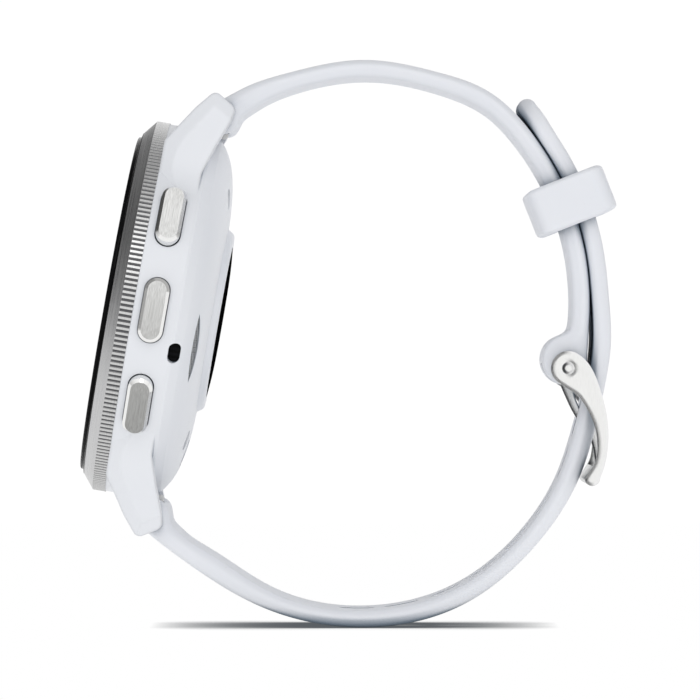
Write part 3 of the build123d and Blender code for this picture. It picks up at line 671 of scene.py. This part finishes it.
def lower_strap():
    """The long strap, with its adjustment holes and a rounded tail."""
    tail_corner = 6 * MM
    hole_length = 4.3 * MM
    hole_width = 2.4 * MM
    inner, outer, run = strap_faces("lower_strap", stations=320)
    inner, outer = smooth_rows(inner, SMOOTHING), smooth_rows(outer, SMOOTHING)
    widths = []
    for point, travelled in zip(outer, run):
        left = run[-1] - travelled
        half = strap_half_width(WRAP_CENTRE.y + point[0])
        if left < tail_corner:
            half += math.sqrt(tail_corner ** 2 - (tail_corner - left) ** 2) - tail_corner
        widths.append(half)
    piece = loft("lower_strap_silicone", strap_rings(inner, outer, widths, crest=0.45))
    middle = (inner + outer) / 2
    middle_angles = np.unwrap(np.arctan2(middle[:, 1], middle[:, 0]))
    solids = bar_cuts("lower")
    for angle in hole_angles():
        place = np.interp(angle, middle_angles, np.arange(len(middle)))
        row = int(place)
        spot = middle[row] + (middle[row + 1] - middle[row]) * (place - row)
        along = Vector((0, *(middle[row + 2] - middle[row - 2]))).normalized()
        centre = WRAP_CENTRE + Vector((0, *spot))
        solids.append(slot_solid(centre, along, hole_length, hole_width, ACROSS.cross(along)))
    carve(piece, solids)
    tidy_shading(piece)
    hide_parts("lower_strap")
    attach(piece, "watch")


def rounded_outline(half_x, half_r, corner, corner_steps=10):
    """Points of a rounded rectangle, corner by corner."""
    points = []
    for sign_x, sign_r, start in ((1, 1, 0), (-1, 1, 90), (-1, -1, 180), (1, -1, 270)):
        for step in range(corner_steps + 1):
            turn = math.radians(start + 90 * step / corner_steps)
            points.append(Vector((sign_x * (half_x - corner) + corner * math.cos(turn),
                                  sign_r * (half_r - corner) + corner * math.sin(turn))))
    return points


def keeper():
    """The keeper loop: a band with soft edges swept round both strap layers."""
    side_wall = 1.7 * MM
    face_wall = 2.3 * MM
    outer_corner = 1.6 * MM
    inner_corner = 0.8 * MM
    low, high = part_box("strap_keeper")
    centre = (low + high) / 2
    out = centre - WRAP_CENTRE
    out.x = 0
    out.normalize()
    along = ACROSS.cross(out)
    local = [vertex.co - centre for vertex in nodes["strap_keeper"].data.vertices]
    half_x = max(abs(point.x) for point in local)
    half_r = max(abs(point.dot(out)) for point in local)
    half_length = max(abs(point.dot(along)) for point in local)
    outer = rounded_outline(half_x, half_r, outer_corner)
    inner = rounded_outline(half_x - side_wall, half_r - face_wall, inner_corner)
    shape = [(0.0, 0.0), (0.0, 0.72), (0.06, 0.90), (0.28, 0.99), (0.5, 1.0), (0.72, 0.99), (0.94, 0.90),
             (1.0, 0.72), (1.0, 0.0)]
    half_section = curve_through([Vector(point) for point in shape], 3)
    section = half_section + [Vector((point.x, -point.y)) for point in reversed(half_section[1:-1])]
    rings = []
    for near, far in zip(inner, outer):
        ring = []
        for point in section:
            spot = near + (far - near) * point.x
            ring.append(centre + ACROSS * spot.x + out * spot.y + along * half_length * point.y)
        rings.append(ring)
    piece = loft("keeper_silicone", rings, closed=True)
    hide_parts("strap_keeper")
    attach(piece, "keeper")


# ---- Spring bar coils, copied from the CAD frame ----
def bar_spring(place):
    """The spring bar's coil, as its own copy of the CAD node's mesh, riding with the watch."""
    node = f"{place}_bar_spring"
    coil = bpy.data.objects.new(f"{place}_bar_coil", nodes[node].data.copy())
    bpy.context.scene.collection.objects.link(coil)
    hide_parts(node)
    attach(coil, "watch")
    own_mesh(coil)


upper_strap()
lower_strap()
keeper()
bar_spring("upper")
bar_spring("lower")


# ---- Floor, light and camera ----
def floor():
    """A pale floor with a painted shadow only where the strap comes close to it."""
    size = 0.6
    shadow_reach = 9 * MM
    below_strap = 0.02 * MM
    mesh = bmesh.new()
    bmesh.ops.create_grid(mesh, x_segments=8, y_segments=8, size=size)
    data = bpy.data.meshes.new("floor")
    mesh.to_mesh(data)
    mesh.free()
    plane = bpy.data.objects.new("floor", data)
    plane.location.z = cad_box[0].z - below_strap
    bpy.context.scene.collection.objects.link(plane)
    shader = Shader("floor_white")
    shader.tree.nodes.remove(shader.surface)
    # Painted shadow: ambient occlusion darkens the glowing floor under the strap.
    near = shader.node("AmbientOcclusion", {"Distance": shadow_reach}, samples=16).node.outputs["AO"]
    dark = shader.math("POWER", near, 1.7)
    colour = shader.mix(dark, (0.10, 0.11, 0.12), (1, 1, 1))
    glow = shader.node("Emission", {"Color": colour, "Strength": 1.0})
    output = shader.tree.nodes["Material Output"]
    shader.tree.links.new(glow, output.inputs["Surface"])
    data.materials.append(shader.material)


def studio():
    """White backdrop for the camera; softer, graded light for everything else.

    The light is brightest on the camera's side (+X), dims towards the far side and is bright again behind it.
    On the far side a dark flag hangs high before the display, and a bright card lies low before it.
    """
    backdrop = 1.02
    card = 1.05
    flag_depth = 0.8
    world = bpy.data.worlds.new("studio")
    bpy.context.scene.world = world
    world.use_nodes = True
    tree = world.node_tree
    tree.nodes.clear()

    def ramp(value, low, high, to_low=0.0, to_high=1.0):
        inputs = {"Value": value, 1: low, 2: high, 3: to_low, 4: to_high}
        return add_node(tree, "MapRange", inputs, interpolation_type="SMOOTHSTEP")

    def join(operation, first, second):
        return add_node(tree, "Math", {0: first, 1: second}, operation=operation)

    direction = add_node(tree, "TexCoord").node.outputs["Generated"]
    along = add_node(tree, "SeparateXYZ", {0: direction}).node.outputs
    near_side = ramp(along["X"], -0.2, 0.9, 0.42, 1.06)
    far_side = ramp(along["X"], -0.25, -0.75)
    around = join("MAXIMUM", near_side, far_side)
    flag_side = ramp(along["X"], 0.1, -0.15)
    flag_top = ramp(along["Z"], 0.12, 0.28)
    flag_front = ramp(along["Y"], -0.1, -0.35)
    flag = join("MULTIPLY", join("MULTIPLY", flag_side, flag_front), flag_top)
    flagged = join("ADD", join("MULTIPLY", flag, -flag_depth), 1.0)
    above = join("MULTIPLY", around, flagged)
    card_front = ramp(along["Y"], -0.1, -0.4)
    card_low = ramp(along["Z"], 0.06, -0.06)
    level = add_node(tree, "Mix", {0: join("MULTIPLY", card_front, card_low), 2: above, 3: card})
    seen = add_node(tree, "LightPath").node.outputs["Is Camera Ray"]
    strength = add_node(tree, "Mix", {0: seen, 2: level, 3: backdrop})
    background = add_node(tree, "Background", {"Color": (1, 1, 1, 1), "Strength": strength})
    output = tree.nodes.new("ShaderNodeOutputWorld")
    tree.links.new(background, output.inputs["Surface"])


def softbox(name, location, target, size, power):
    """A square lamp that faces its target."""
    light = bpy.data.lights.new(name, "AREA")
    light.shape = "SQUARE"
    light.size = size
    light.energy = power
    lamp = bpy.data.objects.new(name, light)
    lamp.location = location
    lamp.rotation_euler = (Vector(target) - Vector(location)).to_track_quat("-Z", "Y").to_euler()
    bpy.context.scene.collection.objects.link(lamp)


def camera():
    """A long lens on the buttons' side, looking along -X."""
    distance = 1.0
    aim_y = 15.42 * MM
    aim_z = -3.33 * MM
    eye = bpy.data.cameras.new("camera")
    eye.sensor_width = 36
    eye.lens = 427
    eye.clip_start = 0.05
    stand = bpy.data.objects.new("camera", eye)
    stand.location = (distance, aim_y, aim_z)
    stand.rotation_euler = (math.radians(90), 0, math.radians(90))
    bpy.context.scene.collection.objects.link(stand)
    bpy.context.scene.camera = stand


floor()
studio()
softbox("key", location=(0.5, 0.05, 0.35), target=(0, 0.015, 0), size=0.25, power=0.25)
camera()
bpy.context.scene.view_settings.view_transform = "Standard"
